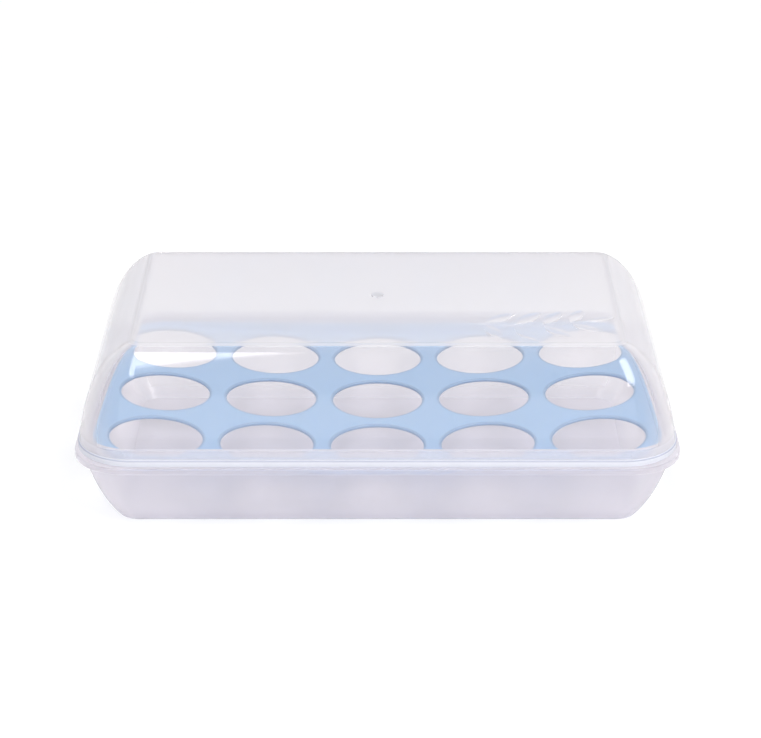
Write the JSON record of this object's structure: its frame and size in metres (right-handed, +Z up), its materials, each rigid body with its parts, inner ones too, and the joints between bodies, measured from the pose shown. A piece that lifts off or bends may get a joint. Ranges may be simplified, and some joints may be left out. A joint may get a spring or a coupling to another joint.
{
  "type": "egg storage container",
  "caption": "shallow clear tray with a ledge, a sagging blue rack of round egg holes inside it, and a tall clear domed cover that lifts off",
  "frame": {"origin": "centre of the tray's underside", "axes": "+X along the length, -Y to the front, +Z up"},
  "size_m": [0.2714, 0.1634, 0.0827],
  "materials": {
    "clear_tray": "translucent polypropylene, satin inside",
    "blue_rack": "light blue polypropylene, satin",
    "clear_cover": "clear polypropylene, glossy"
  },
  "bodies": {
    "tray": {"tray": "clear_tray", "egg_rack": "blue_rack"},
    "cover": {"cover": "clear_cover"}
  },
  "joints": [
    {"name": "cover_lift", "type": "slide", "parent": "tray", "child": "cover", "axis": [0, 0, 1], "range_m": [0, 0.1]}
  ]
}
